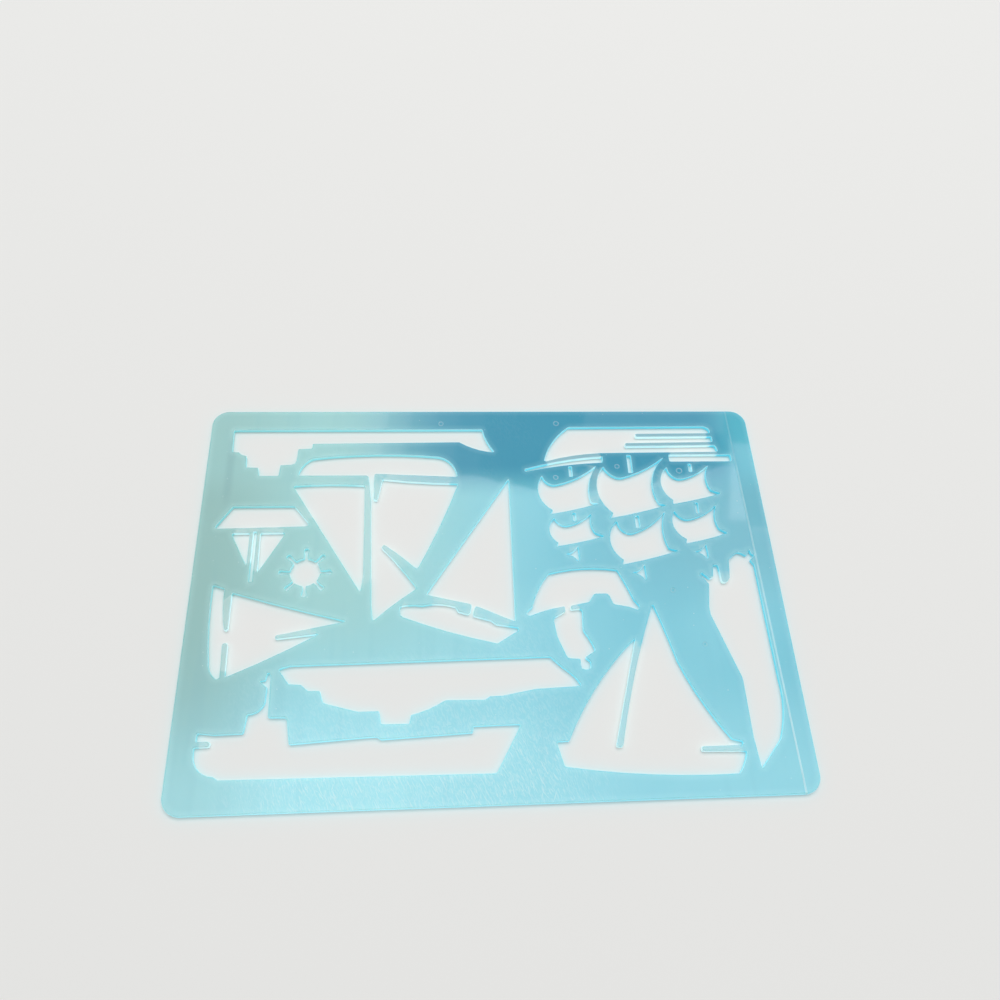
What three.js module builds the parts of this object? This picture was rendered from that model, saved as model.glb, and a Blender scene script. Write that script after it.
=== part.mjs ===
// Drawing stencil of ships and boats: one flat moulded sheet with the figures cut right through it.
// Millimetres, +Z up. The sheet lies on z = 0, long side along X, centred on the origin.

import * as THREE from 'three';

// Sheet
const SHEET_LENGTH = 210;
const SHEET_WIDTH = 148;
const SHEET_THICKNESS = 1.8;
const SHEET_CORNER_RADIUS = 6;

// Solid rim that the figures leave free along each side of the sheet
const RIM_LEFT = 6;
const RIM_RIGHT = 7;
const RIM_FAR = 7;
const RIM_NEAR = 7;

// The figures are drawn on a grid that fills the field between the rims, from the field's near left corner
const GRID_COLUMN_COUNT = 197;
const GRID_ROW_COUNT = 134;
const COLUMN = (SHEET_LENGTH - RIM_LEFT - RIM_RIGHT) / GRID_COLUMN_COUNT;
const ROW = (SHEET_WIDTH - RIM_NEAR - RIM_FAR) / GRID_ROW_COUNT;
const GRID_STEP = (COLUMN + ROW) / 2;

// Cut-outs: the common rounding of their corners, and the pencil slots that stand for masts and spars
const CORNER_ROUNDING = 0.5;
const MAINMAST_SLOT_WIDTH = 1.5;
const MAST_SLOT_WIDTH = 1.1;
const SLOT_ROUNDING = 0.3;

// Tongues of the sheet that reach into a cut-out and draw a stripe, a boom, a rail or a mast there, and the
// rounding of their tips in grid steps
const STRIPE_WIDTH = 1.7;
const BOOM_WIDTH = 1.7;
const RAIL_WIDTH = 1.9;
const STAY_WIDTH = 2.4;
const STRIPE_TIP = STRIPE_WIDTH / 2 / GRID_STEP;
const BOOM_TIP = BOOM_WIDTH / 2 / GRID_STEP;
const RAIL_TIP = RAIL_WIDTH / 2 / GRID_STEP;

// Square sails: the bow of their foot and the roundings of their head and corners
const SAIL_FOOT_BOW = 0.3;
const SAIL_TIP_ROUNDING = 0.2;
const SAIL_DIP_ROUNDING = 4;
const SAIL_HOLLOW_ROUNDING = 1;

// Ship's wheel, whose spokes end in club-shaped handles
const WHEEL_HUB_RADIUS = 5.2;
const WHEEL_REACH = 9.2;
const WHEEL_SPOKE_WIDTH = 1;
const WHEEL_HANDLE_WIDTH = 1.8;
const WHEEL_HANDLE_LENGTH = 2.3;
const WHEEL_SPOKES = 8;

// Greatest distance of a faceted curve from the true one, and the facets of the roundings
const CURVE_TOLERANCE = 0.05;
const ROUNDING_STEPS = 2;
const SHEET_CORNER_STEPS = 12;

// Most of an edge that one end's rounding may take, and the turn past which a corner counts as a sharp tip
const ROUNDED_SHARE = 0.48;
const SHARP_TURN = 0.7 * Math.PI;

// An outline is a list of corners [x, y, bow, rounding] in grid steps. The edge that ends at a corner is
// straight, or an arc that swells the opening by bow at its middle (a negative bow pinches it). Rounding is
// the corner's own radius, where it isn't the common one.

// Place on the sheet of a corner of an outline that starts at the given grid place
function cornerPoint([x, y], [startColumn, startRow]) {
  return new THREE.Vector2(
    (startColumn + x) * COLUMN + RIM_LEFT - SHEET_LENGTH / 2,
    (startRow + y) * ROW + RIM_NEAR - SHEET_WIDTH / 2,
  );
}

// Points of the edge from one corner to the next, both ends included
function edgePoints(start, end, bow, outwardTurn) {
  if (bow === 0) {
    return [start, end];
  }
  const along = end.clone().sub(start);
  const chord = along.length();
  along.normalize();
  const outward = new THREE.Vector2(along.y, -along.x).multiplyScalar(outwardTurn * Math.sign(bow));
  const halfAngle = 2 * Math.atan((2 * Math.abs(bow)) / chord);
  const radius = chord / (2 * Math.sin(halfAngle));
  const stepAngle = 2 * Math.acos(1 - CURVE_TOLERANCE / radius);
  const steps = Math.max(2, Math.ceil((2 * halfAngle) / stepAngle));
  const points = [];
  for (let step = 0; step <= steps; step += 1) {
    const angle = halfAngle * ((2 * step) / steps - 1);
    points.push(
      start
        .clone()
        .addScaledVector(along, chord / 2 + radius * Math.sin(angle))
        .addScaledVector(outward, radius * (Math.cos(angle) - Math.cos(halfAngle))),
    );
  }
  return points;
}

function lengthOf(points) {
  let length = 0;
  for (let index = 1; index < points.length; index += 1) {
    length += points[index].distanceTo(points[index - 1]);
  }
  return length;
}

// The same points with the first stretch of the given length cut away
function withoutStart(points, cut) {
  let left = cut;
  for (let index = 1; index < points.length; index += 1) {
    const span = points[index].distanceTo(points[index - 1]);
    if (span > left) {
      const first = points[index - 1].clone().lerp(points[index], left / span);
      return [first, ...points.slice(index)];
    }
    left -= span;
  }
  return points.slice(-1);
}

// How far a rounding of the given radius reaches along the two edges of a corner
function roundingReach(before, after, radius) {
  const incoming = before.at(-1).clone().sub(before.at(-2));
  const outgoing = after[1].clone().sub(after[0]);
  const turn = Math.abs(incoming.angleTo(outgoing));
  const wanted = radius * Math.tan(Math.min(turn, SHARP_TURN) / 2);
  return Math.min(wanted, ROUNDED_SHARE * lengthOf(before), ROUNDED_SHARE * lengthOf(after));
}

// Closed outline through the corners, with arcs for the bowed edges and every corner rounded
function outline(corners, gridPlace) {
  const places = corners.map((corner) => cornerPoint(corner, gridPlace));
  const outwardTurn = THREE.ShapeUtils.isClockWise(places) ? -1 : 1;
  const count = corners.length;
  const edges = places.map((start, index) => {
    const next = (index + 1) % count;
    return edgePoints(start, places[next], GRID_STEP * (corners[next][2] ?? 0), outwardTurn);
  });
  const reaches = places.map((place, index) => {
    const before = edges[(index + count - 1) % count];
    const rounding = corners[index][3] ?? CORNER_ROUNDING / GRID_STEP;
    return roundingReach(before, edges[index], GRID_STEP * rounding);
  });
  const points = [];
  for (let index = 0; index < count; index += 1) {
    const next = (index + 1) % count;
    const shortened = withoutStart(edges[index], reaches[index]).reverse();
    const middle = withoutStart(shortened, reaches[next]).reverse();
    const following = withoutStart(edges[next], reaches[next])[0];
    const rounding = new THREE.QuadraticBezierCurve(middle.at(-1), places[next], following);
    points.push(...middle, ...rounding.getPoints(ROUNDING_STEPS).slice(1, -1));
  }
  return points;
}

// Straight slot with square ends, along Y
function slot(x, near, far, width) {
  const half = width / 2 / COLUMN;
  const rounding = SLOT_ROUNDING / GRID_STEP;
  return [
    [x - half, near, 0, rounding],
    [x + half, near, 0, rounding],
    [x + half, far, 0, rounding],
    [x - half, far, 0, rounding],
  ];
}

// Tanker lying keel up
const tanker = [
  [0, 0],
  [95, 0],
  [99.5, -10.3, -0.7],
  [86, -5.6, 0.9],
  [30, -6.1],
  [29.9, -8.2],
  [24.7, -8.4],
  [24.3, -15.2, 0, 2],
  [18.5, -15.4],
  [18.2, -20],
  [11.1, -20],
  [10.5, -16.5],
  [6, -16.3],
  [5.7, -11.4],
  [3.7, -10.7],
  [2.7, -9.7],
  [0.3, -9.6],
];

// Ketch lying keel up: hull, mast slot and the two sails behind the mast in one opening
const ketch = [
  [0, 0],
  [5, 7.2, 1.1, 5],
  [53, 7.6, 1.4, 8],
  [59.3, -1, 1.7],
  [28.2, 0.6, 0, 0.8],
  [28.2, -10.8, 0, 0.75],
  [29.7, -10.8, 0, 0.75],
  [31.4, -1.9],
  [59.7, -4, -0.4],
  [44.4, -38.7, 0.6, 0.8],
  [32.4, -28.7, -0.3, 0.8],
  [31.4, -30, 0, 0.8],
  [44.3, -46, 0.4, 1],
  [29.2, -57.8, -0.4],
  [28.5, -51.5, 0, 2],
  [27.4, -11],
  [26.1, -0.1, 0, 1],
];

// Sail before the ketch's mast
const ketchForesail = [
  [0, 0],
  [26.3, 0, 0.5],
  [26.8, -36.5, 0, 3],
  [26, -42.5],
];

// Sloop: mainsail joined to the heeled hull by the foot of the mast
const sloop = [
  [-0.1, 56.3],
  [-31.4, 10.1],
  [-15.3, 6.2, 0, 0.9],
  [-16.2, 2.2, 0, 0.9],
  [-20.3, 3.5],
  [-21.2, 5.2],
  [-32.7, 5.9, 0.8, 2],
  [-40.6, 5.8, 0.4, 1],
  [-40.5, 2.4, 0, 2],
  [-7, -8.2, 0.7, 1],
  [0.5, -3.7],
  [0.4, -2.7],
  [-7.2, -1.4],
  [-8.9, 0],
  [-15.3, 1.9],
  [-14.3, 5.8, 0, 1],
  [-0.4, -0.5],
];

// Small boat lying keel up, with its two sails and the mast between them
const boatHull = [
  [5.4, 8.6],
  [-0.6, -0.2, 0, 0.8],
  [33.8, 0.4, 0, 1],
  [27.4, 8.6],
];
const boatSailRight = [
  [16.2, -2.2],
  [25.1, -2.2],
  [16.4, -17.6],
];
const boatSailLeft = [
  [6, -2.2],
  [12.4, -2.2],
  [12.3, -14.8],
];
const boatMast = slot(14.25, -21, -1.6, MAST_SLOT_WIDTH);

// Dinghy on its side: hull along the left, sail to the right, mast and boom left standing as tongues
const dinghy = [
  [0.2, 0],
  [1.9, -28.8, 0.6],
  [4.9, -33.3, 0.5],
  [5.9, -32.9],
  [5.5, -21, 0, 0.9],
  [7.5, -21, 0, 0.9],
  [7.7, -32.8],
  [37.4, -18.6, 0.4, 0.2],
  [22.9, -20.1, 0, 0.7],
  [22.9, -18.7, 0, 0.7],
  [46.6, -14.2],
  [7, -3, -0.3],
  [7, -16.6, 0, 0.7],
  [5.6, -16.6, 0, 0.7],
  [4.2, -1.4, -0.5],
];

// Long ship lying keel up
const longShip = [
  [3.7, 0],
  [91.5, 1.1],
  [97.9, -4.7, -0.2, 2],
  [101.4, -9.2, 0.3],
  [85.7, -9.8, 0, 4],
  [74.5, -11.8],
  [70.3, -11.9],
  [68.5, -13],
  [55.3, -12.8, 0, 3],
  [44, -17.4, 0.5],
  [43.5, -20.2],
  [34.4, -20.1],
  [33.6, -15.8],
  [26.6, -15.8, 0, 2],
  [15.3, -12.7, 0, 1.5],
  [14, -8.6],
  [10.1, -8.5],
  [7.7, -6.4],
  [3.7, -6.1],
  [0, -1],
];

// Freighter under way: hull, deckhouse, mast with its flag, and a stern rail left standing as a tongue
const freighter = [
  [0.5, 0.1],
  [5.7, -0.6],
  [14.9, -0.4],
  [15.7, 5.7],
  [21, 9.6, -1.2],
  [21.2, 14.5, 0, 0.3],
  [18.7, 16.6, 0, 0.2],
  [20.5, 16.8, 0, 0.3],
  [21, 19.3],
  [21.7, 19.3],
  [22.1, 17.5],
  [22.3, 4.5],
  [28.3, 4.4, 0, 1],
  [29.6, -4.3],
  [54.3, -2.8],
  [57.6, -2.7],
  [58.9, -3.6],
  [88.7, -2.3],
  [89, -0.2],
  [104.6, 0],
  [96, -15.2, 0, 1],
  [8.5, -14.5],
  [6.8, -13.4],
  [0, -6.3, 2],
  [-0.1, -2.5 - RAIL_WIDTH / ROW],
  [4.9, -2.5 - RAIL_WIDTH / ROW, 0, RAIL_TIP],
  [4.9, -2.5, 0, RAIL_TIP],
  [0.3, -2.5],
];

// Yacht: hull, jib and mainsail in one opening, parted by the forestay and boom tongues
const yacht = [
  [38.2, 46.7],
  [44, 26.2, 0.2, 5],
  [58.7, -0.9, -1.1, 1],
  [62.2, -1.7],
  [62, -2.8],
  [47.8, -2.8, 0, BOOM_TIP],
  [47.8, -2.8 - BOOM_WIDTH / ROW, 0, BOOM_TIP],
  [63, -4.9],
  [59.3, -11.8, 0.4, 1],
  [49.7, -11.9],
  [2.2, -7.9, 0.9, 0.8],
  [0, 0],
  [4.2, 0.1],
  [30.2, 34.5, 2.1],
  [19.4, -2.4, 0, 1],
  [19.4 + STAY_WIDTH / COLUMN, -2.4, 0, 1],
  [37.7, 46.5, 1],
];

// Motor dinghy lying keel up, with its outboard motor below
const motorDinghy = [
  [-0.4, -0.9],
  [0.1, 0.1],
  [2, 1.7, 0, 1],
  [8.5, 14.2, 0.8],
  [33.6, 15.3, 1.3, 0.6],
  [38.5, 3.6, 0.2, 1],
  [40.3, 1.3, 0, 0.8],
  [39.4, 0],
  [36.5, 1.2],
  [31, 2.3, 0, 1],
  [29.5, 6.4, 0, 1.5],
  [24.2, 6.4, 0, 1.5],
  [22.3, 3.3, 0, 1],
  [15.4, 2, 0, 0.8],
  [15.4, 0.4],
  [19.5, 0.8, 0, 1],
  [19.1, -7.2, 0, 3],
  [22.8, -14.5, 0.3, 1],
  [18.8, -16.9],
  [20.7, -18.4, 0, 1],
  [20.7, -21.1, 0, 1.5],
  [17.2, -21.1, 0, 1.5],
  [17.4, -17.3],
  [13, -17, 0, 1.5],
  [10, -9.3, 0, 4],
  [9, -2.6, 0, 1.5],
  [13.5, -0.3],
  [13.5, 1.9],
  [0.8, -1.5, -0.4],
];

// Speedboat lying keel up, with two stripes left standing as tongues, and its wake
const speedboat = [
  [0.1, 0.3],
  [10.7, 15.4, 1.6, 1],
  [65.3, 15.7, 0, 2],
  [67.2, 14.6, 0, 1.5],
  [67.4, 12.7],
  [37, 10.8 + STRIPE_WIDTH / ROW, 0, STRIPE_TIP],
  [37, 10.8, 0, STRIPE_TIP],
  [67.7, 11],
  [67.7, 8.6],
  [32.4, 6.5 + STRIPE_WIDTH / ROW, 0, STRIPE_TIP],
  [32.4, 6.5, 0, STRIPE_TIP],
  [68.5, 6.9, 0, 1],
  [69.2, 4.1],
  [21.6, 3.7],
  [0.9, 0.2, -0.6],
];
const wakeLeft = [
  [0.4, 0.1],
  [30.6, 3.9, -0.7],
  [30.9, 6.4],
  [0.4, 1, 0.9],
];
const wakeRight = [
  [0, 0],
  [24.7, 0],
  [24.7, 2.9],
  [0, 2.9],
];

// Billowing square sail from its corners: a full belly up to the peak, a head that sags by the dip to the
// tip, a leech that sweeps in to the hollow, a long tail, and a foot with a notch at its end
function squareSail({ peak, dip, tip, hollow, tail, foot, notch }) {
  const sharp = SAIL_TIP_ROUNDING / GRID_STEP;
  return [
    [...peak, sharp],
    [...dip, SAIL_DIP_ROUNDING / GRID_STEP],
    [...tip, sharp],
    [...hollow, SAIL_HOLLOW_ROUNDING / GRID_STEP],
    [...tail, 0, sharp],
    [...foot, SAIL_FOOT_BOW / GRID_STEP, sharp],
    notch,
  ];
}

// Pennant flying to the left from the head of a mast
const pennant = [
  [0.2, 2.9, 0, 0.2],
  [-4.4, 0, -0.7, 0.2],
  [-0.1, -2.9, -0.7, 0.2],
  [0.4, -1.5, 0, 0.2],
];

// Sails of the galleon, from the fore mast to the mizzen
const foreTopsail = squareSail({
  peak: [-11.2, 16.1, 3.3],
  dip: [-6.7, 12.1, -1],
  tip: [9.8, 20.1, -1.2],
  hollow: [6.7, 4.6, -1.7],
  tail: [9.4, 4.2],
  foot: [-9, 0],
  notch: [-7.8, 1.7],
});
const foreCourse = squareSail({
  peak: [-7.7, 11.4, 2.6],
  dip: [-3.7, 8, -0.7],
  tip: [6.3, 13, -0.9],
  hollow: [7.1, 5.2, -1],
  tail: [10.4, 3.8],
  foot: [-7.7, 0],
  notch: [-6.7, 1.4],
});
const mainTopsail = squareSail({
  peak: [-10.5, 22, 4.2],
  dip: [-4.2, 16.9, -1.1],
  tip: [13.3, 25.7, -1],
  hollow: [9.4, 5.9, -3.4],
  tail: [12, 5.2],
  foot: [-10.3, 0],
  notch: [-8.4, 2.1],
});
const mainCourse = squareSail({
  peak: [-7.7, 17.5, 3.8],
  dip: [-3, 12.1, -1.3],
  tip: [10.8, 21, -1.3],
  hollow: [10.6, 6.1, -1.5],
  tail: [13.8, 5.1],
  foot: [-7.4, 0],
  notch: [-6.7, 1.8],
});
const mizzenTopsail = squareSail({
  peak: [-9.4, 15.7, 3.4],
  dip: [-4.6, 10.5, -1.3],
  tip: [7, 16.3, -0.9],
  hollow: [6.6, 5.8, -1.4],
  tail: [10.2, 4.3],
  foot: [-8.8, 0],
  notch: [-8.5, 1.7],
});
const mizzenCourse = squareSail({
  peak: [-8.9, 13.4, 2.7],
  dip: [-4.2, 9.6, -0.9],
  tip: [7.4, 15.5, -1],
  hollow: [7.2, 5.8, -1.1],
  tail: [10, 4],
  foot: [-6.2, 0],
  notch: [-5.6, 1.7],
});

// Hull of the galleon, standing on its bow along the right side
const galleonHull = [
  [9, -0.6],
  [8.1, 10, 0, 3],
  [8, 29.5, 0, 5],
  [0.6, 52.5, 0, 3],
  [0.4, 55.5, 0, 3],
  [1.8, 64.4],
  [-1, 67.8, 0, 0.3],
  [-0.3, 68.7, 0, 0.3],
  [2.3, 66.3, 0, 1],
  [3.7, 66.5, 0, 1],
  [4.3, 71.4, 0, 0.9],
  [6.1, 71.9, 0, 0.9],
  [6.6, 64.7, 0, 0.9],
  [8.6, 64.8, 0, 1],
  [9.9, 66.6, 0, 1],
  [10.7, 73.8, 0, 1.5],
  [14.6, 77, 0, 2],
  [17.7, 75.1, 0, 0.6],
  [19.1, 77.7, 0, 0.2],
  [19.4, 76.2, 0, 0.3],
  [20.5, 75.4, 0, 0.2],
  [18.7, 73.5],
  [19.9, 71.6, 0, 1],
  [20.5, 29],
  [17.2, 8.8, 1.3, 3],
];

// Ship's wheel: a hub with handled spokes all round, centred on its place
function shipsWheel() {
  const sector = (2 * Math.PI) / WHEEL_SPOKES;
  const spokeHalf = WHEEL_SPOKE_WIDTH / 2;
  const handleHalf = WHEEL_HANDLE_WIDTH / 2;
  const rootAngle = Math.asin(spokeHalf / WHEEL_HUB_RADIUS);
  const hubBow = WHEEL_HUB_RADIUS * (1 - Math.cos(sector / 2 - rootAngle));
  const rootReach = WHEEL_HUB_RADIUS * Math.cos(rootAngle);
  const neckReach = WHEEL_REACH - WHEEL_HANDLE_LENGTH;
  const corners = [];
  for (let spoke = 0; spoke < WHEEL_SPOKES; spoke += 1) {
    const angle = spoke * sector;
    const turned = (along, across, bow, rounding) => [
      (along * Math.cos(angle) - across * Math.sin(angle)) / COLUMN,
      (along * Math.sin(angle) + across * Math.cos(angle)) / ROW,
      bow / GRID_STEP,
      rounding / GRID_STEP,
    ];
    corners.push(
      turned(rootReach, -spokeHalf, hubBow, CORNER_ROUNDING),
      turned(neckReach, -spokeHalf, 0, CORNER_ROUNDING),
      turned(WHEEL_REACH, -handleHalf, 0, handleHalf),
      turned(WHEEL_REACH, handleHalf, 0, handleHalf),
      turned(neckReach, spokeHalf, 0, CORNER_ROUNDING),
      turned(rootReach, spokeHalf, 0, CORNER_ROUNDING),
    );
  }
  return corners;
}

// Every cut-out, with the grid place that its outline starts from
const CUT_OUTS = [
  [2.5, 132.5, tanker],
  [28, 112.5, ketch],
  [26.5, 108, ketchForesail],
  [107, 54, sloop],
  [0, 91, boatHull],
  [0, 91, boatSailRight],
  [0, 91, boatSailLeft],
  [0, 91, boatMast],
  [33, 73.3, shipsWheel()],
  [1.5, 69, dinghy],
  [26.5, 39.5, longShip],
  [2, 18, freighter],
  [118, 12, yacht],
  [111, 57, motorDinghy],
  [121, 118, speedboat],
  [113, 113.5, wakeLeft],
  [170.3, 117.7, wakeRight],
  [130.9, 95.3, foreTopsail],
  [130.9, 82.1, foreCourse],
  [154.3, 93.3, mainTopsail],
  [154.4, 74.5, mainCourse],
  [178, 99.1, mizzenTopsail],
  [178, 82.6, mizzenCourse],
  [130.9, 111.2, slot(0, 0, 4.3, MAST_SLOT_WIDTH)],
  [130.8, 92.4, slot(0, 0, 3.2, MAST_SLOT_WIDTH)],
  [154.3, 112.7, slot(0, 0, 7.7, MAINMAST_SLOT_WIDTH)],
  [154.4, 89.2, slot(0, 0, 5, MAINMAST_SLOT_WIDTH)],
  [177.9, 113, slot(0, 0, 3.4, MAST_SLOT_WIDTH)],
  [178, 95, slot(0, 0, 4.5, MAST_SLOT_WIDTH)],
  [130.9, 78.9, pennant],
  [154.7, 71.2, pennant],
  [178.9, 79.1, pennant],
  [176, 2, galleonHull],
];

// Outer outline of the sheet, a rectangle with round corners
function sheetShape() {
  const inX = SHEET_LENGTH / 2 - SHEET_CORNER_RADIUS;
  const inY = SHEET_WIDTH / 2 - SHEET_CORNER_RADIUS;
  const quarter = Math.PI / 2;
  const shape = new THREE.Shape();
  shape.absarc(inX, inY, SHEET_CORNER_RADIUS, 0, quarter);
  shape.absarc(-inX, inY, SHEET_CORNER_RADIUS, quarter, 2 * quarter);
  shape.absarc(-inX, -inY, SHEET_CORNER_RADIUS, 2 * quarter, 3 * quarter);
  shape.absarc(inX, -inY, SHEET_CORNER_RADIUS, 3 * quarter, 4 * quarter);
  return shape;
}

// Translucent pale blue polystyrene
const SHEET_PLASTIC = new THREE.MeshStandardMaterial({
  name: 'blue_polystyrene',
  color: 0x9fd3dd,
  roughness: 0.3,
  metalness: 0,
});

function stencilSheet() {
  const shape = sheetShape();
  for (const [column, row, corners] of CUT_OUTS) {
    shape.holes.push(new THREE.Path(outline(corners, [column, row])));
  }
  const geometry = new THREE.ExtrudeGeometry(shape, {
    depth: SHEET_THICKNESS,
    bevelEnabled: false,
    curveSegments: SHEET_CORNER_STEPS,
  });
  const mesh = new THREE.Mesh(geometry, SHEET_PLASTIC);
  mesh.name = 'stencil_sheet';
  return mesh;
}

const stencil = new THREE.Group();
stencil.add(stencilSheet());

export default stencil;
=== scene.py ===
"""Looks of the ship stencil: one moulded polystyrene sheet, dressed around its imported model."""

import logging
import math
import statistics
from dataclasses import dataclass, replace
from enum import Enum, IntEnum
from typing import Any

import bmesh
import bpy
from mathutils import Matrix, Quaternion, Vector
from mathutils.bvhtree import BVHTree


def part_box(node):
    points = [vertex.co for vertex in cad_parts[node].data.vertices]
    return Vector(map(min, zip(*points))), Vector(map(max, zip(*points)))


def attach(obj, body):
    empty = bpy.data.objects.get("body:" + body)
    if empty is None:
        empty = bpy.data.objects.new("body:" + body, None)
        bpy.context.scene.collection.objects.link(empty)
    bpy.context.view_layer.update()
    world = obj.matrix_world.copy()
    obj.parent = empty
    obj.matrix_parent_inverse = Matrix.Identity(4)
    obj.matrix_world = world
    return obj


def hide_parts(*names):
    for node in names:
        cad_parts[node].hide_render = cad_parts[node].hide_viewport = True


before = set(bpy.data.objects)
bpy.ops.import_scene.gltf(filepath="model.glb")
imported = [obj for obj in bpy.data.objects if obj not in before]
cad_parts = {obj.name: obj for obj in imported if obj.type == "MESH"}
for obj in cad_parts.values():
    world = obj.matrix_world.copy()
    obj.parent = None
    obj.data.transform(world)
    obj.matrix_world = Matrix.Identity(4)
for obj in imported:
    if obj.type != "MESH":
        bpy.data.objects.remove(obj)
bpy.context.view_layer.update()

LOG = logging.getLogger("stencil")
MM = 0.001
WHITE = "#ffffff"
PIECE_NAME = "ship_stencil"
SHEET_NODE = "stencil_sheet"
ROOT_BODY = "root"

# The sRGB curve: a straight line up to the knee, and a power beyond it
SRGB_KNEE = 0.04045
SRGB_SLOPE = 12.92
SRGB_OFFSET = 0.055
SRGB_POWER = 2.4
BYTE_TOP = 255

Tree = bpy.types.NodeTree
Socket = bpy.types.NodeSocket
Edges = list[bmesh.types.BMEdge]


class Side(Enum):
    """Face of the sheet, with the sign of its normal along Z."""

    TOP = 1
    UNDER = -1


class MixSocket(IntEnum):
    """Places of the colour sockets on a Mix node."""

    FACTOR = 0
    FIRST = 6
    SECOND = 7
    RESULT = 2


class Measure(Enum):
    """Measures that the sheet's mesh carries for its finish.

    WALL is 1 on an upright face and 0 on a flat one. RIM_HIGHLIGHT, a painted highlight, is 1 halfway round
    an edge and less in the groove of a pin mark, and CREASE is 1 in the crease. GAP is the distance to the
    nearest wall, and WIDTH is the distance from wall to wall in a middling direction, both in mm.
    """

    WALL = "cut_wall"
    RIM_HIGHLIGHT = "rim"
    CREASE = "crease"
    GAP = "edge_gap"
    WIDTH = "plastic_width"


def linear(colour: str) -> tuple[float, float, float, float]:
    """Turn an sRGB hex colour into the linear values that shaders use.

    Args:
        colour: Colour as "#rrggbb".

    Returns:
        Linear red, green and blue, with an alpha of 1.
    """
    levels = [value / BYTE_TOP for value in bytes.fromhex(colour.removeprefix("#"))]
    red, green, blue = [
        level / SRGB_SLOPE if level <= SRGB_KNEE
        else ((level + SRGB_OFFSET) / (1 + SRGB_OFFSET)) ** SRGB_POWER
        for level in levels
    ]
    return (red, green, blue, 1.0)


def turned(degrees: float) -> Matrix:
    """Turn about the vertical."""
    return Matrix.Rotation(math.radians(degrees), 4, "Z")


def add_node(tree: Tree, kind: str, inputs: dict[str | int, Any], **settings: Any) -> bpy.types.Node:
    """Add a node, set its properties, and set or link its inputs.

    Args:
        tree: Node tree that the node joins.
        kind: Node type, such as "ShaderNodeMix".
        inputs: Input name or index, with the output socket or the value that goes into it.
        settings: Properties of the node itself.

    Returns:
        The new node.
    """
    node = tree.nodes.new(kind)
    for name, value in settings.items():
        setattr(node, name, value)
    for key, value in inputs.items():
        if isinstance(value, Socket):
            tree.links.new(value, node.inputs[key])
        else:
            node.inputs[key].default_value = value
    return node


def combine(tree: Tree, operation: str, first: Socket, *others: Socket) -> Socket:
    """Combine any number of values by one operation.

    Args:
        tree: Node tree that holds the values.
        operation: Operation of a Math node, such as "MULTIPLY".
        first: First value.
        others: Values that follow.

    Returns:
        The combined value.
    """
    total = first
    for value in others:
        total = add_node(tree, "ShaderNodeMath", {0: total, 1: value}, operation=operation).outputs["Value"]
    return total


def weigh(tree: Tree, start: float, *parts: tuple[Socket, float]) -> Socket:
    """Add weighed values to a start value.

    Args:
        tree: Node tree that holds the values.
        start: Start value.
        parts: Each value with its weight.

    Returns:
        The sum.
    """
    total: Any = start
    for value, weight in parts:
        inputs = {0: value, 1: weight, 2: total}
        total = add_node(tree, "ShaderNodeMath", inputs, operation="MULTIPLY_ADD").outputs["Value"]
    return total


def seen_directly(tree: Tree) -> Socket:
    """Tell whether a ray comes from the camera, from a reflection or through clear plastic.

    Args:
        tree: Node tree of the floor or the backdrop.

    Returns:
        1 on such a ray, and 0 on the light that falls on matt surfaces.
    """
    path = add_node(tree, "ShaderNodeLightPath", {})
    rays = [path.outputs[ray] for ray in ("Is Camera Ray", "Is Glossy Ray", "Is Transmission Ray")]
    return combine(tree, "MAXIMUM", *rays)


@dataclass(frozen=True)
class Span:
    """Two values of a measure, between which a mask rises smoothly from 0 to 1."""

    start: float
    end: float

    def mask(self, tree: Tree, measure: Socket) -> Socket:
        """Build the mask.

        Args:
            tree: Node tree that holds the measure.
            measure: What is measured.

        Returns:
            The mask, from 0 to 1.
        """
        ends = {"Value": measure, "From Min": self.start, "From Max": self.end}
        return add_node(tree, "ShaderNodeMapRange", ends, interpolation_type="SMOOTHSTEP").outputs["Result"]


@dataclass(frozen=True)
class Tint:
    """Colour that a mask lays over the finish, and the share of it that covers where the mask is 1."""

    colour: str
    cover: float


Layers = list[tuple[Socket, Tint]]


@dataclass(frozen=True)
class Strokes:
    """Fine marks that run one way.

    Attributes:
        angle: Direction on the sheet, in degrees from +X.
        length: Length of a mark, in mm.
        spacing: Spacing across the marks, in mm.
        shown: Noise levels between which a mark comes to show.
        waviness: How far the marks wander from straight lines.
        detail: Steps of finer noise that break the marks up.
    """

    angle: float
    length: float
    spacing: float
    shown: Span
    waviness: float = 0.0
    detail: float = 1.0

    def mask(self, tree: Tree, place: Socket) -> Socket:
        """Build the mask of the marks.

        Args:
            tree: Node tree of the finish.
            place: Place on the sheet, in mm.

        Returns:
            The mask, from 0 to 1.
        """
        drawn_out = add_node(
            tree, "ShaderNodeMapping",
            {
                "Vector": place,
                "Rotation": (0.0, 0.0, math.radians(self.angle)),
                "Scale": (self.length, self.spacing, 1.0),
            },
            vector_type="TEXTURE",
        ).outputs["Vector"]
        level = add_node(
            tree, "ShaderNodeTexNoise",
            {"Vector": drawn_out, "Scale": 1.0, "Detail": self.detail, "Distortion": self.waviness},
            noise_dimensions="2D",
        ).outputs["Fac"]
        return self.shown.mask(tree, level)


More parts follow.
